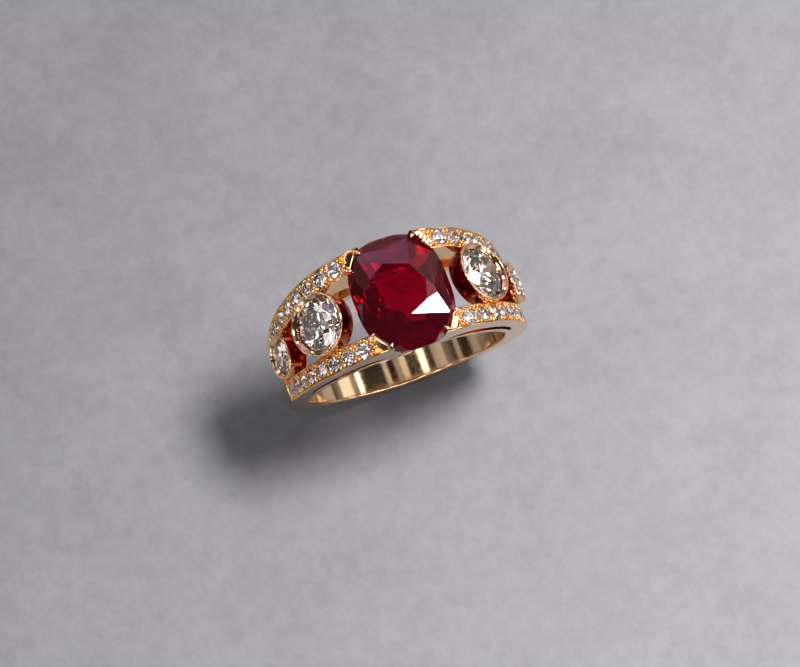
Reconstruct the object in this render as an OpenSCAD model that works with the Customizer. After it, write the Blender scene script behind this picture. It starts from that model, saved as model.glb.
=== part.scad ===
// Cocktail ring: a cushion ruby held at its four corners by pave-set arms, with two
// bezel-set diamonds on each shoulder, open between the arms and closed by a polished shank.
// Millimetres. The origin is the centre of the finger hole. +Y is the hole's axis, +Z points
// up through the ruby and +X to the wearer's right. Angles are measured from +Z towards +X.

/* [Finger hole] */
// Radius of the finger hole
finger_r = 8.5; // [7.5:0.1:10]

/* [Band profile seen along the finger] */
// Thickness of the gold beside the finger, halfway up
side_t = 1.8; // [1.4:0.1:2.2]
// Extra height of the arms at the top of the arch
crown_rise = 1.95; // [1.4:0.05:2.2]
// Thickness of the gold under the finger
sole_t = 1.4; // [1.2:0.1:1.8]
// Thickness of the narrow bands over the finger
strip_t = 0.65; // [0.5:0.05:0.9]

/* [Band width along the finger] */
// Half of the ring's width at the height of the hole's centre
mid_half_w = 2.75; // [2.4:0.05:3.2]
// Half of the shank's width under the finger
sole_half_w = 1.25; // [1.1:0.05:1.5]
// Widening of each side face per millimetre of height
flare = 0.165; // [0.12:0.005:0.2]
// How fast that widening fades with height
flare_fade = 0.0018; // [0:0.0002:0.003]
// Width of a pave arm
rail_w = 1.75; // [1.5:0.05:1.9]
// Width of a finger band
strip_w = 1.95; // [1.6:0.05:2.2]

/* [Side openings] */
// Angle where each crescent opening starts, near the ruby
slot_start = 18; // [16:1:22]
// Angle where each crescent opening ends, near the shank
slot_end = 67; // [60:1:70]
// Greatest height of a crescent opening
slot_h = 1; // [0.6:0.05:1.1]

/* [Ruby] */
// Width across the ring's face
ruby_w = 7.75; // [7:0.05:8.2]
// Length along the finger
ruby_l = 9.6; // [9:0.05:10]
// Squareness of the cushion outline, where 2 is an ellipse
ruby_square = 2.7; // [2.2:0.1:3.4]
// Height of the girdle above the hole's centre
girdle_z = 11.15; // [11.1:0.05:11.6]
// Height of the crown
crown_h = 1.2; // [0.9:0.05:1.4]
// Table width as a share of the ruby's width
table_share = 0.58; // [0.5:0.01:0.65]

/* [Bezel-set diamonds] */
// Outer radius of a large bezel
large_bezel_r = 2.55; // [2.3:0.05:2.6]
// Radius of a large diamond
large_stone_r = 2.12; // [1.9:0.01:2.2]
// Distance of a large bezel's rim from the hole's centre
large_bezel_at = 12.24; // [12:0.02:12.4]
// Angle of the large bezels
large_bezel_angle = 35.1; // [34:0.1:37]
// Tilt of a large bezel's axis from +Z
large_bezel_tilt = 41.8; // [40:0.1:44]
// Outer radius of a small bezel
small_bezel_r = 1.8; // [1.6:0.05:1.9]
// Radius of a small diamond
small_stone_r = 1.42; // [1.2:0.01:1.5]
// Distance of a small bezel's rim from the hole's centre
small_bezel_at = 11.27; // [11.1:0.01:11.4]
// Angle of the small bezels
small_bezel_angle = 64; // [62:0.5:66]
// Tilt of a small bezel's axis from +Z
small_bezel_tilt = 69; // [67:0.5:72]
// Depth of a bezel's wall
bezel_h = 1.6; // [1.3:0.05:1.8]
// Depth of a diamond's girdle below its bezel's rim
stone_sink = 0.34; // [0.3:0.02:0.4]

/* [Pave diamonds] */
// Number of diamonds along each arm
pave_count = 8; // [6:1:8]
// Angle of the diamond nearest the ruby
pave_start = 21.9; // [21:0.1:23]
// Angle between two neighbouring diamonds
pave_pitch = 7.0; // [6.6:0.1:7.2]
// Diameter of the diamond nearest the ruby
pave_d_first = 1.26; // [1.1:0.01:1.3]
// Diameter of the diamond nearest the shank
pave_d_last = 1.0; // [0.9:0.01:1.1]

/* [Hidden] */
$fn = 64;
outline_step = 3;
arm_end = 78;
lip_angle = 10.6;
lip_foot_angle = 8.4;
side_r = finger_r + side_t;
sole_r = finger_r + sole_t;
strip_r = finger_r + strip_t;
top_reach = 13.5;
low_reach = -10.5;
cut_l = 14;
slot_mid = (slot_start + slot_end) / 2;
slot_chord = strip_r * sin((slot_end - slot_start) / 2);
slot_sag = strip_r + slot_h - strip_r * cos((slot_end - slot_start) / 2);
slot_r = (slot_chord * slot_chord + slot_sag * slot_sag) / (2 * slot_sag);
slot_at = strip_r + slot_h - slot_r;
culet_z = finger_r + 0.15;
girdle_t = 0.2;
outline_points = 40;
pave_inset = 0.82;
pave_sink = 0.08;
claw_r = 0.28;
claw_h = 0.9;
claw_drop = 0.6;
inner_claw = [3.72, 2.92];
outer_claw = [2.95, 4.02];
stone_gap = 0.01;
bezel_taper = 0.12;
rim_groove = 0.12;
rim_h = 0.12;
rim_lip = 0.1;
gallery_wall = 0.2;
gallery_in = 0.55;
gallery_top = 0.9;
pit_depth = 0.9;
brilliant_table = 0.56;
brilliant_crown = 0.32;
brilliant_girdle = 0.04;
brilliant_depth = 0.8;
belly_drop = 1.3;
belly_share = 0.58;
culet_share = 0.1;
seat_clearance = 1.004;
seat_steps = [[girdle_z - 0.5, 3, seat_clearance], [girdle_z - 1.05, 0.6, 0.83], [culet_z - 0.2, 1.7, 0.6]];
thin = 0.02;

SIDES = ["left", "right"];
FACES = ["front", "back"];
PAVE_NODES = [for (f = FACES) for (s = SIDES) for (i = [1:pave_count]) str(f, "_", s, "_pave_", i)];

// Half of the ring's width at a height z
function half_width(z) = max(sole_half_w, mid_half_w + flare * z - flare_fade * z * z);

// Outer radius of the ring at an angle from +Z
function outer_r(a) = cos(a) > 0
    ? side_r + crown_rise * pow(cos(a), 2)
    : side_r + (sole_r - side_r) * pow(cos(a), 2);

// Direction of the outer surface's normal at an angle from +Z
function normal_angle(a) = a + atan(crown_rise * sin(2 * a) / outer_r(a));

// Point of the front view at an angle and a radius
function at(a, r) = [r * sin(a), r * cos(a)];

// Signed power, for the cushion outline
function spow(v, e) = sign(v) * pow(abs(v), e);

// Cushion outline, scaled by k
function cushion(k) = [for (i = [0:outline_points - 1]) let (a = 360 * i / outline_points)
    [k * ruby_w / 2 * spow(cos(a), 2 / ruby_square), k * ruby_l / 2 * spow(sin(a), 2 / ruby_square)]];

// Diameter of pave diamond i of one arm
function pave_d(i) = pave_d_first + (pave_d_last - pave_d_first) * (i - 1) / (pave_count - 1);

// Front-view outline in X and Z, extruded along the finger
module across(points) {
    rotate([90, 0, 0]) linear_extrude(cut_l, center = true) polygon(points);
}

// Band of the side view between two distances in from the side faces, on the +Y side
module side_layer(outside, inside) {
    levels = [low_reach:0.75:top_reach];
    outer_edge = [for (z = levels) [half_width(z) - outside, z]];
    inner_edge = [for (i = [len(outer_edge) - 1:-1:0]) outer_edge[i] - [inside - outside, 0]];
    rotate([90, 0, 90]) linear_extrude(2 * cut_l, center = true) polygon(concat(outer_edge, inner_edge));
}

// The whole width between the side faces
module full_width() {
    levels = [low_reach:0.75:top_reach];
    right_edge = [for (z = levels) [half_width(z), z]];
    left_edge = [for (i = [len(right_edge) - 1:-1:0]) [-right_edge[i][0], right_edge[i][1]]];
    rotate([90, 0, 90]) linear_extrude(2 * cut_l, center = true) polygon(concat(right_edge, left_edge));
}

module finger_hole(r) {
    rotate([90, 0, 0]) cylinder(h = 2 * cut_l, r = r, center = true, $fn = 128);
}

// Moves its children to a seat on the shoulders: angle, distance from the centre, tilt and y
module seat(a, r, tilt, y = 0) {
    translate([r * sin(a), y, r * cos(a)]) rotate([0, tilt, 0]) children();
}

// Mirrors a right-hand, back piece to the side and face that are named
module placed(face, side) {
    mirror([side == "left" ? 1 : 0, 0, 0]) mirror([0, face == "front" ? 1 : 0, 0]) children();
}

// U-shaped polished band under and beside the finger
module shank() {
    outer = [for (a = [arm_end:outline_step:360 - arm_end]) at(a, outer_r(a))];
    color("goldenrod") difference() {
        intersection() {
            across(concat([[0, 0]], outer));
            full_width();
        }
        finger_hole(finger_r);
    }
}

// Narrow arch that closes the finger hole under the ruby
module finger_band(face) {
    reach = strip_r / cos(outline_step);
    sector = [for (a = [-arm_end:outline_step:arm_end]) at(a, reach)];
    color("goldenrod") placed(face, "right") difference() {
        intersection() {
            across(concat([[0, 0]], sector));
            side_layer(0, strip_w);
            finger_hole(strip_r);
        }
        finger_hole(finger_r);
    }
}

// Crescent opening through the side of an arm
module slot() {
    seat(slot_mid, slot_at, 0) rotate([90, 0, 0]) cylinder(h = cut_l * 2, r = slot_r, center = true);
}

// Stepped seat that clears the ruby at an arm's end; each step is its foot, its height and its share
module ruby_seat() {
    for (step = seat_steps)
        translate([0, 0, step[0]]) linear_extrude(step[1]) polygon(cushion(step[2]));
}

// Claw that stands beside the girdle and closes over it
module claw(place) {
    translate([place[0], place[1], girdle_z - claw_drop]) {
        cylinder(h = claw_h, r = claw_r);
        translate([0, 0, claw_h]) sphere(claw_r);
    }
}

// One pave arm, from the ruby's corner down to the shank
module arm(face, side) {
    outer = [for (a = [lip_angle:outline_step:arm_end]) at(a, outer_r(a))];
    inner = [at(arm_end, outer_r(arm_end)), at(arm_end, finger_r), at(lip_foot_angle, finger_r)];
    color("goldenrod") placed(face, side) difference() {
        union() {
            intersection() {
                across(concat(outer, inner));
                side_layer(0, rail_w);
            }
            claw(inner_claw);
            claw(outer_claw);
        }
        finger_hole(strip_r);
        slot();
        ruby_seat();
        seat(large_bezel_angle, large_bezel_at, large_bezel_tilt)
            translate([0, 0, -bezel_h - 1]) cylinder(h = bezel_h + 3, r = large_bezel_r);
        seat(small_bezel_angle, small_bezel_at, small_bezel_tilt)
            translate([0, 0, -bezel_h]) cylinder(h = bezel_h + 3, r = small_bezel_r);
        for (i = [1:pave_count]) {
            pave_place(i) translate([0, 0, -pit_depth]) cylinder(h = 2, r = pave_d(i) / 2 + stone_gap);
        }
    }
}

// Cushion-cut ruby
module ruby() {
    table = cushion(table_share);
    color("crimson") hull() {
        translate([0, 0, girdle_z]) linear_extrude(girdle_t) polygon(cushion(1));
        translate([0, 0, girdle_z + crown_h]) linear_extrude(thin) polygon(table);
        translate([0, 0, girdle_z - belly_drop]) linear_extrude(thin) polygon(cushion(belly_share));
        translate([0, 0, culet_z]) linear_extrude(thin) polygon(cushion(culet_share));
    }
}

// Collet with a rim that is rubbed over a round diamond
module bezel(r, stone_r) {
    rotate_extrude() polygon([
        [stone_r - rim_lip, rim_h / 2],
        [r - rim_groove, rim_h],
        [r, 0],
        [r - bezel_taper, -bezel_h],
        [stone_r - gallery_in - gallery_wall, -bezel_h],
        [stone_r - gallery_in, -gallery_top],
        [stone_r, -stone_sink - thin],
        [stone_r, -rim_lip]
    ]);
}

// Round brilliant with its girdle at z = 0
module brilliant(r) {
    rotate_extrude() polygon([
        [0, brilliant_crown * r],
        [brilliant_table * r, brilliant_crown * r],
        [r, brilliant_girdle * r],
        [r, 0],
        [0, -brilliant_depth * r]
    ]);
}

module large_bezel(side) {
    color("goldenrod") placed("back", side)
        seat(large_bezel_angle, large_bezel_at, large_bezel_tilt) bezel(large_bezel_r, large_stone_r);
}

module small_bezel(side) {
    color("goldenrod") placed("back", side)
        seat(small_bezel_angle, small_bezel_at, small_bezel_tilt) bezel(small_bezel_r, small_stone_r);
}

module large_diamond(side) {
    color("lightcyan") placed("back", side)
        seat(large_bezel_angle, large_bezel_at, large_bezel_tilt)
        translate([0, 0, -stone_sink]) brilliant(large_stone_r - stone_gap);
}

module small_diamond(side) {
    color("lightcyan") placed("back", side)
        seat(small_bezel_angle, small_bezel_at, small_bezel_tilt)
        translate([0, 0, -stone_sink]) brilliant(small_stone_r - stone_gap);
}

// Seat of pave diamond i on the right-hand, back arm
module pave_place(i) {
    a = pave_start + (i - 1) * pave_pitch;
    z = outer_r(a) * cos(a);
    seat(a, outer_r(a) - pave_sink, normal_angle(a), half_width(z) - pave_inset) children();
}

module pave_diamond(face, side, i) {
    color("lightcyan") placed(face, side) pave_place(i) brilliant(pave_d(i) / 2);
}

shank();
ruby();
for (face = FACES) {
    finger_band(face);
    for (side = SIDES) {
        arm(face, side);
        for (i = [1:pave_count]) {
            pave_diamond(face, side, i);
        }
    }
}
for (side = SIDES) {
    large_bezel(side);
    small_bezel(side);
    large_diamond(side);
    small_diamond(side);
}
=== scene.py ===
from math import atan, atan2, cos, hypot, pi, radians, sin, sqrt
import bpy
import bmesh
from mathutils import Matrix, Vector


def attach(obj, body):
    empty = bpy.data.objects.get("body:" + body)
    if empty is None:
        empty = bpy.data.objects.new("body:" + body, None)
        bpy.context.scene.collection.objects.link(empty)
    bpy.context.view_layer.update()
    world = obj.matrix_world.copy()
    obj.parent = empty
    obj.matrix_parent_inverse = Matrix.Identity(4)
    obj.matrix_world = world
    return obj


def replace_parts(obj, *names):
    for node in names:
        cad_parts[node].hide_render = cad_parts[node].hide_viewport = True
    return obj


# Looks for the cocktail ring: gold work, cut stones, studio light and camera.
# Lengths are in millimetres until a mesh is made, except that lights and camera are in metres throughout.
# +Y is the finger hole's axis, +Z points up through the ruby, and angles are measured from +Z towards +X,
# as in the CAD model.

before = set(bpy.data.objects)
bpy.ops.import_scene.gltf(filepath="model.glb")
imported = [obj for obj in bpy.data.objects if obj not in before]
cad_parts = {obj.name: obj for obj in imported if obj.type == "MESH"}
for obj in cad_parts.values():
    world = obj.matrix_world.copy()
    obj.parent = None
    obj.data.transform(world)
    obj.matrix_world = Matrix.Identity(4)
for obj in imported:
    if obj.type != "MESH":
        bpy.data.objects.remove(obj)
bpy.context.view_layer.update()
MM = 0.001

# Driving dimensions, as in the CAD model
FINGER_R = 8.5
SIDE_R = 10.3
SOLE_R = 9.9
CROWN_RISE = 1.95
STRIP_R = 9.15
MID_HALF_W, SOLE_HALF_W, WIDTH_EASE = 2.75, 1.25, 0.05
FLARE, FLARE_FADE = 0.165, 0.0018
RAIL_W, STRIP_W = 1.75, 1.95
ARM_END = radians(78)
RUBY_W, RUBY_L, RUBY_SQUARE = 7.75, 9.6, 2.7
GIRDLE_Z, CROWN_H, CULET_Z = 11.15, 1.2, 8.65
PAVE_COUNT, PAVE_START, PAVE_PITCH = 8, radians(21.9), radians(7.0)
BEZELS = {
    "large": {"r": 2.55, "stone_r": 2.11, "at": 12.24, "angle": radians(35.1), "tilt": radians(41.8)},
    "small": {"r": 1.8, "stone_r": 1.41, "at": 11.27, "angle": radians(64), "tilt": radians(69)},
}
SIDES = {"left": -1, "right": 1}
FACES = {"front": -1, "back": 1}

# Drawn finer than in the CAD, or set by the photo
PAVE_D_FIRST, PAVE_D_LAST, PAVE_INSET, PAVE_SINK = 1.32, 1.06, 0.82, 0.07
STONE_SINK, STONE_TURN = 0.34, 0.35
SLOT_START, SLOT_END, SLOT_H = radians(16.5), radians(67), 1.2


def half_width(z):
    """Half of the ring's width at a height, easing into the sole's even width."""
    w = MID_HALF_W + FLARE * z - FLARE_FADE * z * z
    return 0.5 * (w + SOLE_HALF_W + sqrt((w - SOLE_HALF_W) ** 2 + WIDTH_EASE))


def outer_r(a):
    rise = CROWN_RISE if cos(a) > 0 else SOLE_R - SIDE_R
    return SIDE_R + rise * cos(a) ** 2


def normal_angle(a):
    return a + atan(CROWN_RISE * sin(2 * a) / outer_r(a))


def lerp(a, b, t):
    return a + (b - a) * t


def ramp(x, low, high):
    """0 below low, 1 above high, eased between."""
    t = min(max((x - low) / (high - low), 0), 1)
    return t * t * (3 - 2 * t)


def ring_point(a, r, y):
    return Vector((r * sin(a), y, r * cos(a)))


# ---------------------------------------------------------------- mesh helpers
WELD = 0.0004


def add_object(name, data):
    ob = bpy.data.objects.new(name, data)
    bpy.context.scene.collection.objects.link(ob)
    return ob


def new_mesh(name, verts, faces):
    """A mesh in metres from points in millimetres."""
    mesh = bpy.data.meshes.new(name)
    mesh.from_pydata([[c * MM for c in v] for v in verts], [], faces)
    return mesh


def turn_outward(mesh, weld=0.0):
    """Turns every face outward, after joining the points that are closer than the weld distance."""
    bm = bmesh.new()
    bm.from_mesh(mesh)
    if weld > 0:
        bmesh.ops.remove_doubles(bm, verts=bm.verts, dist=weld * MM)
    bmesh.ops.recalc_face_normals(bm, faces=bm.faces)
    bm.to_mesh(mesh)
    bm.free()


def build(name, verts, faces, material, sharp=30, weighted=True):
    """A piece of the ring, smooth between faces that meet under the sharp angle."""
    mesh = new_mesh(name, verts, faces)
    mesh.validate()
    turn_outward(mesh, WELD)
    mesh.shade_smooth()
    mesh.set_sharp_from_angle(angle=radians(sharp))
    mesh.materials.append(material)
    ob = add_object(name, mesh)
    if weighted:
        normals = ob.modifiers.new("face weighted normals", "WEIGHTED_NORMAL")
        normals.keep_sharp = True
    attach(ob, "root")
    return ob


def loft(loops, close=False):
    """Faces that join equal closed loops in order, with both ends capped, or the last joined to the first."""
    n, count = len(loops[0]), len(loops)
    verts = [p for loop in loops for p in loop]
    faces = []
    for i in range(count if close else count - 1):
        j = (i + 1) % count
        for k in range(n):
            m = (k + 1) % n
            faces.append((i * n + k, i * n + m, j * n + m, j * n + k))
    if not close:
        faces += [tuple(range(n)), tuple(range((count - 1) * n, count * n))]
    return verts, faces


def rounded(corners, radii, steps=6):
    """A closed outline whose corners are eased by curves that start a radius away."""
    out = []
    n = len(corners)
    for i, (corner, radius) in enumerate(zip(corners, radii)):
        p = Vector(corner)
        before = (Vector(corners[i - 1]) - p).normalized() * radius
        after = (Vector(corners[(i + 1) % n]) - p).normalized() * radius
        for k in range(steps + 1):
            t = k / steps
            out.append(tuple(p + before * (1 - t) ** 2 + after * t ** 2))
    return out


def revolve(profile, steps=96):
    """A closed profile of (radius, height) turned about Z."""
    loops = []
    for i in range(steps):
        a = 2 * pi * i / steps
        loops.append([(r * cos(a), r * sin(a), z) for r, z in profile])
    return loft(loops, close=True)


def placed(verts, face, side):
    """Mirrors a right-hand, back shape to the face and side that are named."""
    sx, sy = SIDES[side], FACES[face]
    return [(v[0] * sx, v[1] * sy, v[2]) for v in verts]


def moved(verts, matrix):
    return [tuple(matrix @ Vector(v)) for v in verts]


def seat(a, r, tilt, y=0.0, turn=0.0):
    """Matrix of a seat on the shoulder, with its axis tilted from +Z towards +X."""
    tilted = Matrix.Translation(ring_point(a, r, y)) @ Matrix.Rotation(tilt, 4, "Y")
    return tilted @ Matrix.Rotation(turn, 4, "Z")


def axes_matrix(across, along, toward, distance):
    """Matrix with the given X, Y and Z axes, standing at a distance along its Z axis."""
    rows = [[across[i], along[i], toward[i], toward[i] * distance] for i in range(3)]
    return Matrix(rows + [[0, 0, 0, 1]])


def merge(*parts):
    verts, faces = [], []
    for part_verts, part_faces in parts:
        start = len(verts)
        verts += list(part_verts)
        faces += [tuple(i + start for i in face) for face in part_faces]
    return verts, faces


def ball(centre, radii, rows=7, columns=10):
    """An ellipsoid as points and faces."""
    verts = [(0, 0, 1)]
    for i in range(1, rows):
        b = pi * i / rows
        turns = [2 * pi * j / columns for j in range(columns)]
        verts += [(sin(b) * cos(c), sin(b) * sin(c), cos(b)) for c in turns]
    verts.append((0, 0, -1))
    faces = [(0, 1 + j, 1 + (j + 1) % columns) for j in range(columns)]
    for i in range(rows - 2):
        for j in range(columns):
            k = (j + 1) % columns
            first = 1 + i * columns
            faces.append((first + j, first + columns + j, first + columns + k, first + k))
    last = len(verts) - 1
    first = last - columns
    faces += [(last, first + (j + 1) % columns, first + j) for j in range(columns)]
    matrix = Matrix.Translation(centre) @ Matrix.Diagonal((*radii, 1))
    return moved(verts, matrix), faces


# ---------------------------------------------------------------- node helpers
def shader(name):
    material = bpy.data.materials.new(name)
    material.use_nodes = True
    nodes = material.node_tree.nodes
    return material, nodes, material.node_tree.links, nodes["Principled BSDF"]


def coordinates(nodes, kind):
    return nodes.new("ShaderNodeTexCoord").outputs[kind]


def component(nodes, links, source, axis):
    node = nodes.new("ShaderNodeSeparateXYZ")
    links.new(source, node.inputs[0])
    return node.outputs[axis]


def dot(nodes, links, source, direction):
    node = nodes.new("ShaderNodeVectorMath")
    node.operation = "DOT_PRODUCT"
    node.inputs[1].default_value = direction
    links.new(source, node.inputs[0])
    return node.outputs["Value"]


def combine(nodes, links, operation, first, *others):
    """Adds or multiplies values in turn."""
    total = first
    for other in others:
        node = nodes.new("ShaderNodeMath")
        node.operation = operation
        links.new(total, node.inputs[0])
        links.new(other, node.inputs[1])
        total = node.outputs["Value"]
    return total


def noise(nodes, links, scale, detail=3.0, rough=0.5):
    texture = nodes.new("ShaderNodeTexNoise")
    texture.inputs["Scale"].default_value = scale
    texture.inputs["Detail"].default_value = detail
    texture.inputs["Roughness"].default_value = rough
    links.new(coordinates(nodes, "Object"), texture.inputs["Vector"])
    return texture.outputs["Fac"]


def map_range(nodes, links, source, low, high, out_low, out_high):
    node = nodes.new("ShaderNodeMapRange")
    node.inputs["From Min"].default_value = low
    node.inputs["From Max"].default_value = high
    node.inputs["To Min"].default_value = out_low
    node.inputs["To Max"].default_value = out_high
    links.new(source, node.inputs["Value"])
    return node.outputs["Result"]


def mix_colour(nodes, links, factor, first, second):
    """Blend of two colours. The first can also be another node's output."""
    node = nodes.new("ShaderNodeMix")
    node.data_type = "RGBA"
    if isinstance(first, tuple):
        node.inputs["A"].default_value = (*first, 1)
    else:
        links.new(first, node.inputs["A"])
    node.inputs["B"].default_value = (*second, 1)
    links.new(factor, node.inputs["Factor"])
    return node.outputs["Result"]


def bump(nodes, links, height, strength, distance):
    node = nodes.new("ShaderNodeBump")
    node.inputs["Strength"].default_value = strength
    node.inputs["Distance"].default_value = distance
    links.new(height, node.inputs["Height"])
    return node.outputs["Normal"]


# ---------------------------------------------------------------- materials
MOTTLE_SCALE, HAZE_SCALE, RIPPLE_SCALE, RIPPLE_DEPTH = 900, 2600, 520, 0.02 * MM
# Painted reflection of the ruby on the collet walls that face it: where it begins, where it is full, and its deep
# red
RUBY_REFLECTION_START, RUBY_REFLECTION_FULL, RUBY_REFLECTION_COLOUR = -1.5 * MM, -3.2 * MM, (0.34, 0.025, 0.015)
# Board colours, and the direction of the painted light that brightens the board towards the front right
BOARD_DARK, BOARD_LIGHT, PAINTED_LIGHT_LEAN = (0.42, 0.405, 0.432), (0.79, 0.77, 0.80), (5.0, -16.0, 0.0)
TOOTH_SCALE, TOOTH_DEPTH = 1500, 0.15 * MM


def gold(name, colour, second, rough_low, rough_high, wave):
    """Polished gold: a slight mottle in colour, fine polishing haze, and a faint unevenness of the surface."""
    material, nodes, links, bsdf = shader(name)
    bsdf.inputs["Metallic"].default_value = 1.0
    mottle = map_range(nodes, links, noise(nodes, links, MOTTLE_SCALE), 0.3, 0.7, 0, 1)
    links.new(mix_colour(nodes, links, mottle, colour, second), bsdf.inputs["Base Color"])
    haze = noise(nodes, links, HAZE_SCALE, 5, 0.65)
    links.new(map_range(nodes, links, haze, 0.35, 0.7, rough_low, rough_high), bsdf.inputs["Roughness"])
    ripple = noise(nodes, links, RIPPLE_SCALE, 2)
    links.new(bump(nodes, links, ripple, wave, RIPPLE_DEPTH), bsdf.inputs["Normal"])
    return material


def collet_gold():
    """Polished gold, with a painted reflection of the ruby: deep red on the walls that face the ruby."""
    material = gold("collet gold", *GOLD_LOOK)
    nodes, links = material.node_tree.nodes, material.node_tree.links
    base = nodes["Principled BSDF"].inputs["Base Color"]
    place = component(nodes, links, coordinates(nodes, "Object"), "X")
    facing = component(nodes, links, coordinates(nodes, "Normal"), "X")
    inward = combine(nodes, links, "MULTIPLY", place, facing)
    # Painted reflection: deep red mixed into the gold where a wall faces the ruby
    ruby_reflection_mask = map_range(nodes, links, inward, RUBY_REFLECTION_START, RUBY_REFLECTION_FULL, 0, 1)
    links.new(mix_colour(nodes, links, ruby_reflection_mask, base.links[0].from_socket, RUBY_REFLECTION_COLOUR), base)
    return material


def gem(name, colour, clarity, ior, absorption=None, density=0):
    """Clear cut stone: a polished surface, a little body colour, and absorption by depth where it is coloured."""
    material, nodes, links, bsdf = shader(name)
    bsdf.inputs["Base Color"].default_value = (*colour, 1)
    bsdf.inputs["Roughness"].default_value = 0.0
    bsdf.inputs["IOR"].default_value = ior
    bsdf.inputs["Transmission Weight"].default_value = clarity
    if absorption:
        volume = nodes.new("ShaderNodeVolumeAbsorption")
        volume.inputs["Color"].default_value = (*absorption, 1)
        volume.inputs["Density"].default_value = density
        links.new(volume.outputs["Volume"], nodes["Material Output"].inputs["Volume"])
    return material


def paper():
    """Pale grey board: painted light that makes it brighter towards the front right, broad mottle, fibre clouds
    and a fine tooth.
    """
    material, nodes, links, bsdf = shader("pale board")
    broad = map_range(nodes, links, noise(nodes, links, 110, 3), 0.3, 0.7, -0.5, 0.5)
    clouds = map_range(nodes, links, noise(nodes, links, 620, 6, 0.7), 0.25, 0.75, -1.0, 1.0)
    # Painted light: brighter towards the front right, darker towards the back left
    lean = dot(nodes, links, coordinates(nodes, "Object"), PAINTED_LIGHT_LEAN)
    painted_light = map_range(nodes, links, lean, -0.6, 0.6, -1.3, 1.5)
    total = combine(nodes, links, "ADD", painted_light, broad, clouds)
    factor = map_range(nodes, links, total, -2.8, 2.8, 0, 1)
    links.new(mix_colour(nodes, links, factor, BOARD_DARK, BOARD_LIGHT), bsdf.inputs["Base Color"])
    bsdf.inputs["Roughness"].default_value = 0.85
    bsdf.inputs["Specular IOR Level"].default_value = 0.2
    tooth = noise(nodes, links, TOOTH_SCALE, 6, 0.65)
    links.new(bump(nodes, links, tooth, 0.35, TOOTH_DEPTH), bsdf.inputs["Normal"])
    return material


# Golds: colour, second colour, least and most roughness, and unevenness
GOLD_LOOK = ((0.94, 0.645, 0.395), (0.90, 0.595, 0.345), 0.07, 0.15, 0.12)
GOLD = gold("polished gold", *GOLD_LOOK)
COLLET_GOLD = collet_gold()
GRAIN_GOLD = gold("bright cut gold", (0.97, 0.66, 0.30), (0.88, 0.52, 0.20), 0.08, 0.20, 0.35)
# Darker amber copy of the gold for the stones' bed and pits: painted shade in the recesses
SHADED_BED_GOLD = gold("amber gold with painted shade", (0.86, 0.50, 0.19), (0.66, 0.33, 0.10), 0.10, 0.24, 0.35)
# Stones: body colour, clarity, refractive index, and the ruby's absorption colour and density
RUBY = gem("ruby", (0.90, 0.01, 0.09), 0.93, 1.77, (0.71, 0.015, 0.15), 660)
DIAMOND = gem("diamond", (1.0, 0.90, 0.80), 0.985, 2.42)
PAVE_DIAMOND = gem("small diamond", (1.0, 0.875, 0.84), 0.97, 2.42)


# ---------------------------------------------------------------- shank and finger bands
SHANK_STEPS, BAND_STEPS = 108, 84
# Roundings beside the arms and at the sole, and the angle from which the sole's apply
HOLE_EDGE, HOLE_EDGE_SOLE = 0.30, 0.26
BACK_EDGE, BACK_EDGE_SOLE = 0.05, 0.32
SOLE_ANGLE = radians(125)
# Roundings of a finger band: its top outside the slot, what the slot adds, and its two far corners
BAND_EDGE, BAND_SLOT_EDGE, BAND_FAR_EDGES = 0.012, 0.06, (0.06, 0.12)
SLOT_FADE_IN, SLOT_FADE_OUT = 0.2, 0.1


def shank():
    """Polished U under and beside the finger."""
    loops = []
    for i in range(SHANK_STEPS + 1):
        a = lerp(ARM_END, 2 * pi - ARM_END, i / SHANK_STEPS)
        r = outer_r(a)
        inner_y, outer_y = half_width(FINGER_R * cos(a)), half_width(r * cos(a))
        ease = ramp(min(a, 2 * pi - a), ARM_END, SOLE_ANGLE)
        corners = [(FINGER_R, -inner_y), (r, -outer_y), (r, outer_y), (FINGER_R, inner_y)]
        inner_edge = lerp(HOLE_EDGE, HOLE_EDGE_SOLE, ease)
        outer_edge = lerp(BACK_EDGE, BACK_EDGE_SOLE, ease)
        outline = rounded(corners, [inner_edge, outer_edge, outer_edge, inner_edge])
        loops.append([ring_point(a, q, y) for q, y in outline])
    verts, faces = loft(loops)
    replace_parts(build("polished_shank", verts, faces, GOLD), "shank")


def finger_band(face):
    """Narrow arch over the finger with an eased lower edge."""
    loops = []
    for i in range(BAND_STEPS + 1):
        a = lerp(-ARM_END, ARM_END, i / BAND_STEPS)
        low_y, high_y = half_width(FINGER_R * cos(a)), half_width(STRIP_R * cos(a))
        corners = [(FINGER_R, low_y), (STRIP_R, high_y), (STRIP_R, high_y - STRIP_W), (FINGER_R, low_y - STRIP_W)]
        past_start = ramp(abs(a), SLOT_START, SLOT_START + SLOT_FADE_IN)
        before_end = 1 - ramp(abs(a), SLOT_END - SLOT_FADE_OUT, SLOT_END)
        top_edge = BAND_EDGE + BAND_SLOT_EDGE * min(past_start, before_end)
        outline = rounded(corners, [HOLE_EDGE, top_edge, *BAND_FAR_EDGES])
        loops.append([ring_point(a, q, y) for q, y in outline])
    verts, faces = loft(loops)
    piece = build(f"{face}_finger_arch", placed(verts, face, "right"), faces, GOLD)
    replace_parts(piece, f"{face}_finger_band")


# ---------------------------------------------------------------- arms
ARM_SHARP = 18
ARM_TOP_R, ARM_STEPS = 12, 44
# The crescent opening's blunt start and the powers that curve its two ends
SLOT_NOSE, SLOT_NOSE_POWER, SLOT_TAIL_POWER = 0.2, 0.5, 0.45
# Recess behind the lip as (distance from the lip, depth), ending at the stones' bed
BED = 0.10
LIP_LEVELS = [(0.0, 0.0), (0.09, 0.0), (0.11, 0.19), (0.13, 0.21), (0.31, 0.178), (0.49, 0.146), (0.67, 0.113),
              (0.73, BED)]
MEAN_LIP = radians(13)
BED_END, WALL_END = 0.985, 0.99
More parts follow.
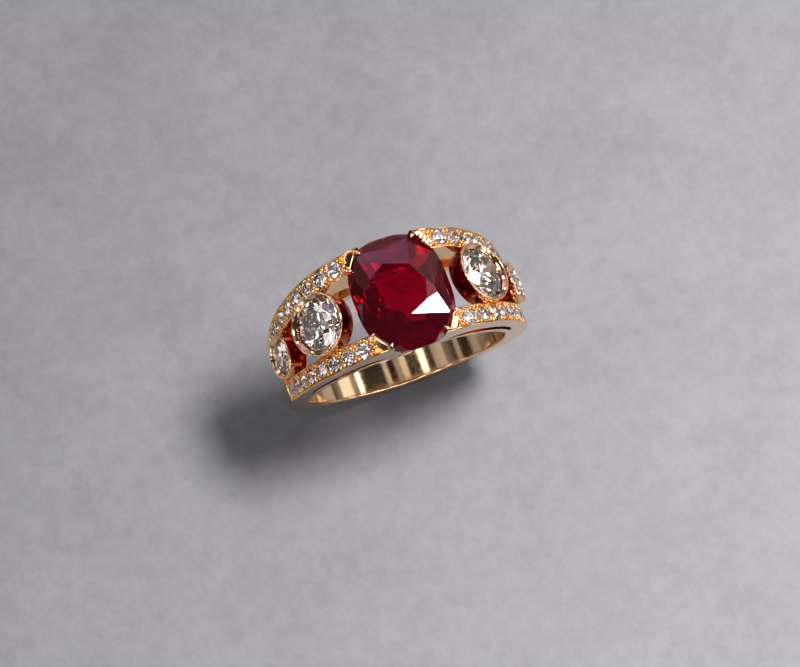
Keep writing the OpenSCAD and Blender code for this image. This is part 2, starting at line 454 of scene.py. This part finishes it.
# Where an arm begins, in degrees: the lip's angle, sweep, curve and belly, and the foot's angle and sweep
LIP_ANGLE, LIP_SWEEP, LIP_CURVE, LIP_BELLY = 10.4, 5.9, 1.1, 0.55
FOOT_ANGLE, FOOT_SWEEP = 8.4, 11.6
# An arm's top as (share across, share of the channel's depth, eased edge)
RAIL_TOP = [(0.0, 0, 0.05), (0.03, 0, 0), (0.06, 0, 0), (0.105, 1, 0), (0.3, 1, 0), (0.5, 1, 0), (0.7, 1, 0),
            (0.895, 1, 0), (0.94, 0, 0), (0.97, 0, 0), (1.0, 0, 0.05)]
# Points on an arm's sides, by their drop from its top
EDGE_DROP, INNER_DROP = 0.10, 0.5
NEAR_DROP, FAR_DROP, FAR_SHARE = 1.2, 1.0, 0.3
# Pit for a pave stone: clearance, height of its mouth, drop, and the foot's share of the radius and its depth
PIT_GAP, PIT_MOUTH, PIT_DROP, PIT_FOOT, PIT_DEPTH, PIT_STEPS = 0.015, 0.6, 0.02, 0.3, 0.98, 32
# Faces of the bed and pits, which get the darker amber gold as painted shade: share across, drop from the top,
# angle past the lip
BED_SHARES, BED_DROPS, BED_PAST_LIP = (0.07, 0.93), (0.05, 0.9), radians(3)


def slot_roof(a):
    """Radius of an arm's underside: the crescent opening's upper edge, or the finger band's back."""
    if not SLOT_START < a < SLOT_END:
        return STRIP_R
    t = (a - SLOT_START) / (SLOT_END - SLOT_START)
    return STRIP_R + SLOT_H * min(1, t / SLOT_NOSE) ** SLOT_NOSE_POWER * (1 - t) ** SLOT_TAIL_POWER


def arm_sections():
    """Levels along an arm as (share of its length, depth of the channel in its top)."""
    length = ARM_TOP_R * (ARM_END - MEAN_LIP)
    levels = [(d / length, depth) for d, depth in LIP_LEVELS]
    bed_start = levels[-1][0]
    levels += [(lerp(bed_start, BED_END, i / ARM_STEPS), BED) for i in range(1, ARM_STEPS)]
    return levels + [(BED_END, BED), (WALL_END, 0.0), (1.0, 0.0)]


def arm_start(s, r, top):
    """Angle where an arm begins, at a share s across its width and a radius r, with its top at the radius top."""
    lip = radians(LIP_ANGLE + LIP_SWEEP * s ** LIP_CURVE + LIP_BELLY * sin(pi * s))
    foot = radians(FOOT_ANGLE + FOOT_SWEEP * s)
    return lerp(foot, lip, min(max((r - STRIP_R) / (top - STRIP_R), 0), 1))


def lip_angle(s):
    return arm_start(s, ARM_TOP_R, ARM_TOP_R)


def arm_point(u, s, drop=None):
    """Point of an arm at shares along and across, a drop below its top, or on its underside without a drop."""
    a = lerp(lip_angle(s), ARM_END, u)
    top = outer_r(a)
    r = slot_roof(a) if drop is None else top - drop
    a = lerp(arm_start(s, r, top), ARM_END, u)
    r = slot_roof(a) if drop is None else outer_r(a) - drop
    return ring_point(a, r, half_width(r * cos(a)) - s * RAIL_W)


def arm_body():
    """One rail from the ruby's corner to the shank, with a channel for the stones in its top."""
    loops = []
    for u, depth in arm_sections():
        side_drop = FAR_DROP if u > FAR_SHARE else NEAR_DROP
        loop = [arm_point(u, 0.0), arm_point(u, 0.0, side_drop), arm_point(u, 0.0, EDGE_DROP)]
        loop += [arm_point(u, s, depth * share + eased) for s, share, eased in RAIL_TOP]
        loop += [arm_point(u, 1.0, EDGE_DROP), arm_point(u, 1.0, INNER_DROP), arm_point(u, 1.0)]
        loops.append(loop)
    return loft(loops)


def pave_place(i):
    """Seat of pave diamond i, counted from the ruby, on the right-hand, back arm."""
    a = PAVE_START + i * PAVE_PITCH
    r = outer_r(a)
    return seat(a, r - PAVE_SINK, normal_angle(a), half_width(r * cos(a)) - PAVE_INSET)


def pave_r(i):
    return lerp(PAVE_D_FIRST, PAVE_D_LAST, i / (PAVE_COUNT - 1)) / 2


def pit(i):
    """Hole for pave diamond i: a straight mouth over a tapered foot, closed at both ends."""
    r = pave_r(i)
    mouth_r = r + PIT_GAP
    profile = [(mouth_r, PIT_MOUTH), (mouth_r, -PIT_DROP), (PIT_FOOT * r, -PIT_DEPTH * r - PIT_DROP)]
    n = len(profile)
    verts, faces = revolve(profile, PIT_STEPS)
    faces = [f for f in faces if f[0] % n < f[1] % n]
    faces += [tuple(k * n + end for k in range(PIT_STEPS)) for end in (0, n - 1)]
    return moved(verts, pave_place(i)), faces


def cut(ob, tool):
    """Takes the tool's shape out of the piece for good, and removes the tool."""
    step = ob.modifiers.new("cut", "BOOLEAN")
    step.operation = "DIFFERENCE"
    step.solver = "EXACT"
    step.object = tool
    bpy.context.view_layer.objects.active = ob
    while ob.modifiers[0] != step:
        bpy.ops.object.modifier_move_up(modifier=step.name)
    bpy.ops.object.modifier_apply(modifier=step.name)
    bpy.data.objects.remove(tool)
    ob.data.set_sharp_from_angle(angle=radians(ARM_SHARP))


def in_bed(centre):
    """Whether a face of an arm, by its centre in millimetres, belongs to the stones' bed or a pit."""
    x, y, z = centre
    share = (half_width(z) - abs(y)) / RAIL_W
    if not BED_SHARES[0] < share < BED_SHARES[1]:
        return False
    a = atan2(abs(x), z)
    return BED_DROPS[0] < outer_r(a) - hypot(x, z) < BED_DROPS[1] and a > lip_angle(share) + BED_PAST_LIP


def arm(face, side):
    verts, faces = arm_body()
    piece = build(f"{face}_{side}_rail", placed(verts, face, side), faces, GOLD, sharp=ARM_SHARP)
    pit_verts, pit_faces = merge(*[pit(i) for i in range(PAVE_COUNT)])
    pits = new_mesh("cutter", placed(pit_verts, face, side), pit_faces)
    turn_outward(pits)
    cut(piece, add_object("cutter", pits))
    # Painted shade: faces of the bed and pits get the darker amber gold
    piece.data.materials.append(SHADED_BED_GOLD)
    for polygon in piece.data.polygons:
        if in_bed([c / MM for c in polygon.center]):
            polygon.material_index = 1
    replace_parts(piece, f"{face}_{side}_arm")


# ---------------------------------------------------------------- grains and claws
GRAIN_FIRST, GRAIN_LAST, GRAIN_RISE, GRAIN_FLATTEN = 0.165, 0.13, 0.045, 0.95
# Grains from the middle of a gap as (along, across), and the smaller ones as (along, across, size)
MAIN_GRAINS = [(-0.18, -0.55), (0.18, -0.55), (-0.18, 0.50), (0.18, 0.50)]
SMALL_GRAINS = [(0, -0.33, 0.11), (0, 0.30, 0.10), (0, -0.76, 0.10), (0.37, -0.78, 0.09)]
# Clusters beside the lip, which is fuller on the back right arm
LIP_GRAIN = 0.125
LIP_GRAINS = [(-0.16, -0.15), (-0.20, 0.12), (-0.42, -0.42), (-0.30, 0.36), (-0.38, 0.08)]
FULLER_GRAINS = [(-0.52, -0.12), (-0.60, 0.30), (-0.72, -0.45), (-0.74, 0.12), (-0.90, -0.20), (-0.96, 0.42),
                 (-0.62, 0.52)]
# Claws as (tip, root, half width), and their outline as (share along, share of the width, share of the height)
CLAWS = [((3.22, 2.72, 11.84), (3.80, 3.05, 11.62), 0.17), ((2.12, 3.92, 11.86), (2.52, 4.30, 11.66), 0.21)]
CLAW_OUTLINE = [(0.0, 0.10, 0.15), (0.06, 0.28, 0.4), (0.25, 0.52, 0.8), (0.6, 0.85, 1.1), (0.85, 1.1, 1.0),
                (1.0, 1.2, 0.5)]
CLAW_HALF_H, CLAW_SIDES = 0.15, 14


def grains(face, side):
    """Beads of metal raised around every stone to hold it, four in each gap and a cluster beside the lip."""
    cluster = LIP_GRAINS + (FULLER_GRAINS if (face, side) == ("back", "right") else [])
    parts = []
    for i in range(-1, PAVE_COUNT):
        a = PAVE_START + (i + 0.5) * PAVE_PITCH
        r = outer_r(a)
        mid_y = half_width(r * cos(a)) - PAVE_INSET
        size = lerp(GRAIN_FIRST, GRAIN_LAST, max(i, 0) / PAVE_COUNT)
        beads = [(along, across, size) for along, across in MAIN_GRAINS] + SMALL_GRAINS
        if i < 0:
            beads += [(along, across, LIP_GRAIN) for along, across in cluster]
        for along, across, bead_r in beads:
            b = a + along / r
            centre = ring_point(b, outer_r(b) - BED + GRAIN_RISE, mid_y + across)
            parts.append(ball(centre, (bead_r, bead_r, bead_r * GRAIN_FLATTEN)))
    verts, faces = merge(*parts)
    build(f"{face}_{side}_grains", placed(verts, face, side), faces, GRAIN_GOLD)


def claws(face, side):
    """Two tapered claw tips that fold from the lip's ends over the ruby's edge."""
    parts = []
    for tip, root, half_w in CLAWS:
        tip, root = Vector(tip), Vector(root)
        along = root - tip
        across = along.cross(Vector((0, 0, 1))).normalized()
        lift = across.cross(along).normalized()
        loops = []
        for t, w, h in CLAW_OUTLINE:
            centre = tip.lerp(root, t)
            loop = []
            for k in range(CLAW_SIDES):
                b = 2 * pi * k / CLAW_SIDES
                loop.append(centre + across * (half_w * w * cos(b)) + lift * (CLAW_HALF_H * h * sin(b)))
            loops.append(loop)
        parts.append(loft(loops))
    verts, faces = merge(*parts)
    build(f"{face}_{side}_claws", placed(verts, face, side), faces, GOLD)


# ---------------------------------------------------------------- bezels
BEZEL_SHARP, BEZEL_GAP, BEZEL_FOOT = 40, 0.012, -1.59


def bezel(side, size):
    """Collet with a narrow rounded rim over a smooth bowl that slopes down to the stone."""
    b = BEZELS[size]
    r, stone_r = b["r"], b["stone_r"] + BEZEL_GAP
    ledge = [(stone_r - 0.55, -0.95), (stone_r, -STONE_SINK - 0.04), (stone_r, -STONE_SINK + 0.07)]
    bowl = [(stone_r + 0.01, -0.23), (stone_r + 0.05, -0.20), (r - 0.18, -0.03), (r - 0.165, -0.01)]
    rim = [(r - 0.16, 0.02), (r - 0.14, 0.055), (r - 0.10, 0.075), (r - 0.06, 0.07), (r - 0.02, 0.04)]
    wall = [(r, -0.02), (r, -0.12), (r - 0.02, -0.8), (r - 0.08, -1.48), (r - 0.12, -1.56)]
    foot = [(r - 0.18, BEZEL_FOOT), (stone_r - 0.68, BEZEL_FOOT), (stone_r - 0.74, -1.55), (stone_r - 0.75, -1.49)]
    verts, faces = revolve(ledge + bowl + rim + wall + foot)
    verts = placed(moved(verts, seat(b["angle"], b["at"], b["tilt"])), "back", side)
    piece = build(f"{side}_{size}_collet", verts, faces, COLLET_GOLD, sharp=BEZEL_SHARP)
    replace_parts(piece, f"{side}_{size}_bezel")


# ---------------------------------------------------------------- diamonds
# Proportions of a round brilliant, by its radius
TABLE, CROWN, PAVILION, GIRDLE = 0.56, 0.31, 0.86, 0.035
STAR, STAR_PULL, LOWER_HALF = 0.55, 0.97, 0.2


def round_brilliant(r):
    """Round brilliant with eight mains, its girdle's top at z = 0."""
    verts, faces = [], []
    wall = GIRDLE * r

    def add(radius, step, z):
        a = 2 * pi * step / 16
        verts.append((radius * cos(a), radius * sin(a), z))
        return len(verts) - 1

    rise = CROWN * r
    slope = rise / (r - TABLE * r)
    star_r = lerp(TABLE * r, r, STAR) / cos(pi / 8) * STAR_PULL
    star_z = rise - slope * (star_r * cos(pi / 8) - TABLE * r)
    tables = [add(TABLE * r, 2 * i, rise) for i in range(8)]
    stars = [add(star_r, 2 * i + 1, star_z) for i in range(8)]
    upper = [add(r, i, 0) for i in range(16)]
    under = [add(r, i, -wall) for i in range(16)]
    deep = PAVILION * r
    low_r = LOWER_HALF * r
    lows = [add(low_r, 2 * i + 1, -wall - deep * (1 - low_r * cos(pi / 8) / r)) for i in range(8)]
    culet = add(0, 0, -wall - deep)
    faces.append(tuple(tables))
    for i in range(8):
        j = (i + 1) % 8
        k, m, n = 2 * i, 2 * i + 1, (2 * i + 2) % 16
        faces.append((tables[i], stars[i], tables[j]))
        faces.append((tables[i], stars[i - 1], upper[k], stars[i]))
        faces += [(stars[i], upper[k], upper[m]), (stars[i], upper[m], upper[n])]
        faces += [(upper[k], under[k], under[m], upper[m]), (upper[m], under[m], under[n], upper[n])]
        faces += [(lows[i], under[m], under[k]), (lows[i], under[n], under[m])]
        faces.append((culet, lows[i], under[k], lows[i - 1]))
    return verts, faces


def faceted(name, verts, faces, material):
    """A stone with flat facets."""
    ob = build(name, verts, faces, material, weighted=False)
    ob.data.shade_flat()
    return ob


def bezel_diamond(side, size):
    b = BEZELS[size]
    verts, faces = round_brilliant(b["stone_r"])
    sunk = Matrix.Translation((0, 0, -STONE_SINK))
    matrix = seat(b["angle"], b["at"], b["tilt"], turn=STONE_TURN) @ sunk
    verts = placed(moved(verts, matrix), "back", side)
    piece = faceted(f"{side}_{size}_brilliant", verts, faces, DIAMOND)
    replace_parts(piece, f"{side}_{size}_diamond")


def pave_diamond(face, side, i):
    verts, faces = round_brilliant(pave_r(i))
    turn = Matrix.Rotation(0.9 * i, 4, "Z")
    verts = placed(moved(verts, pave_place(i) @ turn), face, side)
    piece = faceted(f"{face}_{side}_stone_{i + 1}", verts, faces, PAVE_DIAMOND)
    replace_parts(piece, f"{face}_{side}_pave_{i + 1}")


# ---------------------------------------------------------------- ruby
RUBY_STEPS, RUBY_GIRDLE = 96, 0.12
# Crown facets as a point on the table's edge and the gradient by which the facet falls along X and Y
CROWN_FACETS = [
    ((0, -2.27), (0.103, -0.203)), ((0, -2.27), (0.063, -0.364)), ((0, -2.27), (-0.063, -0.364)),
    ((-1.81, -1.20), (-0.139, -0.231)), ((-1.81, -1.20), (-0.50, -0.17)), ((-2.15, 1.49), (-0.44, 0.16)),
    ((-2.05, 1.49), (-0.135, 0.200)), ((-0.75, 2.37), (-0.06, 0.36)), ((1.18, 1.72), (0.096, 0.284)),
    ((1.18, 1.72), (0.40, 0.20)), ((1.98, 0), (0.048, -0.014)), ((2.43, 0), (0.80, 0)),
]
# Rows of facets as (direction, slope) pairs in degrees, share of the outline, height, and up or down
FACET_ROWS = [
    ([(10, 43), (28, 49), (46, 55), (58, 50), (71, 40), (84, 30)], 0.992, GIRDLE_Z + RUBY_GIRDLE, 1),
    ([(6, 57), (18, 58), (31, 60), (46, 62), (60, 60), (74, 56), (86, 53)], 0.994, GIRDLE_Z, -1),
    ([(0, 43), (15, 44), (32, 46), (46, 47), (60, 44), (76, 40), (90, 37)], 0.84, GIRDLE_Z - 0.80, -1),
    ([(8, 30), (30, 31), (52, 30), (76, 27)], 0.46, GIRDLE_Z - 1.78, -1),
]
CULET_FACETS = [(0.34, 0.12), (0.14, 0.27)]


def cushion_point(a, k=1.0):
    """Point of the cushion outline in the direction a, scaled by k."""
    x, y = cos(a), sin(a)
    r = (abs(x / (RUBY_W / 2)) ** RUBY_SQUARE + abs(y / (RUBY_L / 2)) ** RUBY_SQUARE) ** (-1 / RUBY_SQUARE)
    return Vector((k * r * x, k * r * y))


def outline_heading(a):
    """Direction that the cushion's outline faces at a point seen in the direction a."""
    p = cushion_point(a)
    power = RUBY_SQUARE - 1
    nx = abs(p.x) ** power / (RUBY_W / 2) ** RUBY_SQUARE
    ny = abs(p.y) ** power / (RUBY_L / 2) ** RUBY_SQUARE
    return atan2(ny, nx)


def sloped(point, heading, slope, up):
    """Plane through a point, falling away from the axis towards a heading."""
    return Vector(point), Vector((sin(slope) * cos(heading), sin(slope) * sin(heading), up * cos(slope)))


def falling(point, gradient, up=1):
    """Plane through a point that falls by a gradient along X and Y."""
    return Vector(point), Vector((gradient[0], gradient[1], up)).normalized()


def convex_stone(name, outline, low, high, planes, material):
    """A prism cut down to a convex stone by planes, each given as a point and an outward normal."""
    n = len(outline)
    verts = [(x, y, low) for x, y in outline] + [(x, y, high) for x, y in outline]
    faces = [tuple(range(n)), tuple(range(n, 2 * n))]
    faces += [(i, (i + 1) % n, n + (i + 1) % n, n + i) for i in range(n)]
    mesh = bpy.data.meshes.new(name)
    mesh.from_pydata(verts, [], faces)
    bm = bmesh.new()
    bm.from_mesh(mesh)
    bmesh.ops.recalc_face_normals(bm, faces=bm.faces)
    for point, normal in planes:
        made = bmesh.ops.bisect_plane(bm, geom=bm.verts[:] + bm.edges[:] + bm.faces[:], plane_co=point,
                                      plane_no=normal, dist=1e-5, clear_outer=True)
        rim = [e for e in made["geom_cut"] if isinstance(e, bmesh.types.BMEdge)]
        if len(rim) > 2:
            bmesh.ops.edgeloop_fill(bm, edges=[e for e in rim if e.is_boundary])
    bmesh.ops.remove_doubles(bm, verts=bm.verts, dist=0.004)
    bmesh.ops.dissolve_limit(bm, angle_limit=radians(0.3), verts=bm.verts, edges=bm.edges)
    bm.to_mesh(mesh)
    verts = [tuple(v.co) for v in mesh.vertices]
    faces = [tuple(p.vertices) for p in mesh.polygons]
    bm.free()
    bpy.data.meshes.remove(mesh)
    return faceted(name, verts, faces, material)


def ruby():
    """Cushion mixed cut: flat crown with an uneven table, over a bellied pavilion."""
    top_z = GIRDLE_Z + CROWN_H
    outline = [tuple(cushion_point(2 * pi * (i + 0.5) / RUBY_STEPS)) for i in range(RUBY_STEPS)]
    planes = [(Vector((0, 0, top_z)), Vector((0, 0, 1)))]
    planes += [falling((x, y, top_z), gradient) for (x, y), gradient in CROWN_FACETS]
    for sx in (1, -1):
        for sy in (1, -1):
            for row, share, z, up in FACET_ROWS:
                for a, slope in row:
                    p = cushion_point(radians(a), share)
                    n = outline_heading(radians(a))
                    heading = atan2(sin(n) * sy, cos(n) * sx)
                    planes.append(sloped((p.x * sx, p.y * sy, z), heading, radians(slope), up))
            planes += [falling((0, 0, CULET_Z), (x * sx, y * sy), -1) for x, y in CULET_FACETS]
    stone = convex_stone("cushion_ruby", outline, CULET_Z - 0.1, top_z + 0.1, planes, RUBY)
    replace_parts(stone, "ruby")


# ---------------------------------------------------------------- table, light and camera
FLOOR_HALF = 3000
WHITE = (1, 1, 1)
FAR = 0.5
# Cards that only the metal and stones show: direction, width, length, radiance and colour
CARDS = {
    "right side panel": ((0.735, 0.29, 0.61), 0.048, 0.18, 2.6, WHITE),
    "left top panel": ((-0.46, 0.29, 0.84), 0.06, 0.18, 2.6, WHITE),
    "overhead card": ((-0.10, 0.30, 0.95), 0.06, 0.10, 0.75, WHITE),
    "overhead dim card": ((0.02, 0.30, 0.95), 0.05, 0.10, 0.30, WHITE),
    "small top card": ((0.25, 0.27, 0.93), 0.045, 0.05, 0.7, WHITE),
    "back card": ((0.09, 0.75, 0.66), 0.28, 0.20, 0.58, (0.90, 0.50, 1.0)),
    "front right lip card": ((0.385, 0.52, 0.763), 0.10, 0.09, 1.1, WHITE),
    "low right card": ((0.92, 0.20, 0.33), 0.14, 0.30, 0.85, WHITE),
    "low left card": ((-0.70, 0.32, 0.62), 0.12, 0.14, 0.35, WHITE),
    "far left strip": ((-0.93, 0.29, 0.27), 0.05, 0.14, 0.35, WHITE),
}
# Little lamps in a spiral, left out around the dark directions and in the band that the finger hole shows
LAMP_COUNT, LAMP_SIZE, LAMP_RADIANCE, LAMP_COLOUR = 56, 0.085, 3.3, (1.0, 0.93, 0.92)
LAMP_LOW, LAMP_HIGH = 0.12, 0.98
DARK_CONE, HOLE_VIEW = radians(12), (0.16, 0.42)
DARK = [(0.142, 0.299, 0.944), (0.693, 0.575, 0.435), (0.257, -0.369, 0.893), (0.025, -0.380, 0.924),
        (-0.125, -0.146, 0.980), (-0.739, -0.007, 0.672), (0.350, -0.060, 0.937), (0.271, 0.700, 0.660),
        (-0.088, 0.640, 0.763), (0.049, 0.839, 0.541), (-0.55, 0.55, 0.63), (-0.866, -0.396, 0.285)]


def floor():
    corners = ((-1, -1), (1, -1), (1, 1), (-1, 1))
    mesh = new_mesh("table_board", [(x * FLOOR_HALF, y * FLOOR_HALF, -SOLE_R) for x, y in corners], [(0, 1, 2, 3)])
    mesh.materials.append(paper())
    add_object("table_board", mesh)


def panel(name, direction, distance, width, length, radiance, colour=WHITE, shape="RECTANGLE", card=False):
    """Soft light that faces the ring. Width runs across, length along the finger's direction.

    Radiance is the brightness that a mirror shows. A card is seen in the metal and stones only.
    """
    light = bpy.data.lights.new(name, "AREA")
    light.shape = shape
    light.size = width
    light.size_y = length
    light.energy = radiance * width * length * pi * (pi / 4 if shape == "ELLIPSE" else 1)
    light.color = colour
    ob = add_object(name, light)
    heading = Vector(direction).normalized()
    across = Vector((0, 1, 0)).cross(heading).normalized()
    ob.matrix_world = axes_matrix(across, heading.cross(across), heading, distance)
    ob.visible_diffuse = not card


def room():
    """Dim surroundings: nearly black overhead, and darker at the far left, at the horizon and in one patch."""
    world = bpy.data.worlds.new("room")
    world.use_nodes = True
    nodes, links = world.node_tree.nodes, world.node_tree.links
    backdrop = nodes["Background"]
    backdrop.inputs["Color"].default_value = (0.93, 0.94, 1.0, 1)
    direction = coordinates(nodes, "Generated")
    height = component(nodes, links, direction, "Z")
    sideways = component(nodes, links, direction, "X")
    overhead = map_range(nodes, links, height, 0.47, 0.70, 0.34, 0.03)
    far_left = map_range(nodes, links, sideways, -0.88, -0.76, 0.15, 1.0)
    toward_patch = dot(nodes, links, direction, Vector(DARK[0]).normalized())
    patch = map_range(nodes, links, toward_patch, 0.9962, 0.9980, 1.0, 0.15)
    horizon = map_range(nodes, links, height, 0.02, 0.26, 0.25, 1.0)
    links.new(combine(nodes, links, "MULTIPLY", overhead, far_left, patch, horizon), backdrop.inputs["Strength"])
    bpy.context.scene.world = world


def studio():
    """One small strong lamp, a front fill, cards, and a spiral of little lamps."""
    panel("key light", (0.39, 0.03, 0.92), 0.22, 0.060, 0.060, 35.0, shape="ELLIPSE")
    panel("front fill", (0.45, -0.80, 0.38), 0.15, 0.08, 0.05, 1.3)
    for name, (direction, width, length, radiance, colour) in CARDS.items():
        panel(name, direction, FAR, width, length, radiance, colour, card=True)
    dark = [Vector(d).normalized() for d in DARK]
    for i in range(LAMP_COUNT):
        z = lerp(LAMP_LOW, LAMP_HIGH, (i + 0.5) / LAMP_COUNT)
        turn = i * pi * (3 - sqrt(5))
        heading = Vector((sqrt(1 - z * z) * cos(turn), sqrt(1 - z * z) * sin(turn), z))
        near_dark = any(heading.dot(d) > cos(DARK_CONE) for d in dark)
        if not near_dark and not HOLE_VIEW[0] < heading.y < HOLE_VIEW[1]:
            panel(f"little lamp {i}", heading, FAR, LAMP_SIZE, LAMP_SIZE, LAMP_RADIANCE, LAMP_COLOUR, "ELLIPSE",
                  card=True)


def photo_camera():
    """Camera at the photograph's viewing angle, 200 mm from the ring's centre."""
    turn, rise, roll, distance = radians(-25.36), radians(70.67), radians(6.22), 0.2
    back = Vector((sin(turn) * cos(rise), -cos(turn) * cos(rise), sin(rise)))
    level = Vector((cos(turn), sin(turn), 0))
    over = back.cross(level)
    data = bpy.data.cameras.new("photo camera")
    data.lens = 108.8
    data.sensor_width = 36
    data.shift_x = 0.0044
    data.shift_y = 0.0076
    data.clip_start = 0.01
    data.clip_end = 20
    camera = add_object("photo camera", data)
    right, up = cos(roll) * level + sin(roll) * over, cos(roll) * over - sin(roll) * level
    camera.matrix_world = axes_matrix(right, up, back, distance)
    bpy.context.scene.camera = camera


shank()
for ring_face in FACES:
    finger_band(ring_face)
    for ring_side in SIDES:
        arm(ring_face, ring_side)
        grains(ring_face, ring_side)
        claws(ring_face, ring_side)
        for stone_number in range(PAVE_COUNT):
            pave_diamond(ring_face, ring_side, stone_number)
for ring_side in SIDES:
    for bezel_size in BEZELS:
        bezel(ring_side, bezel_size)
        bezel_diamond(ring_side, bezel_size)
ruby()
floor()
room()
studio()
photo_camera()
bpy.context.scene.view_settings.view_transform = "Standard"
cycles = bpy.context.scene.cycles
cycles.max_bounces, cycles.glossy_bounces, cycles.transmission_bounces = 24, 7, 20
cycles.caustics_reflective = False
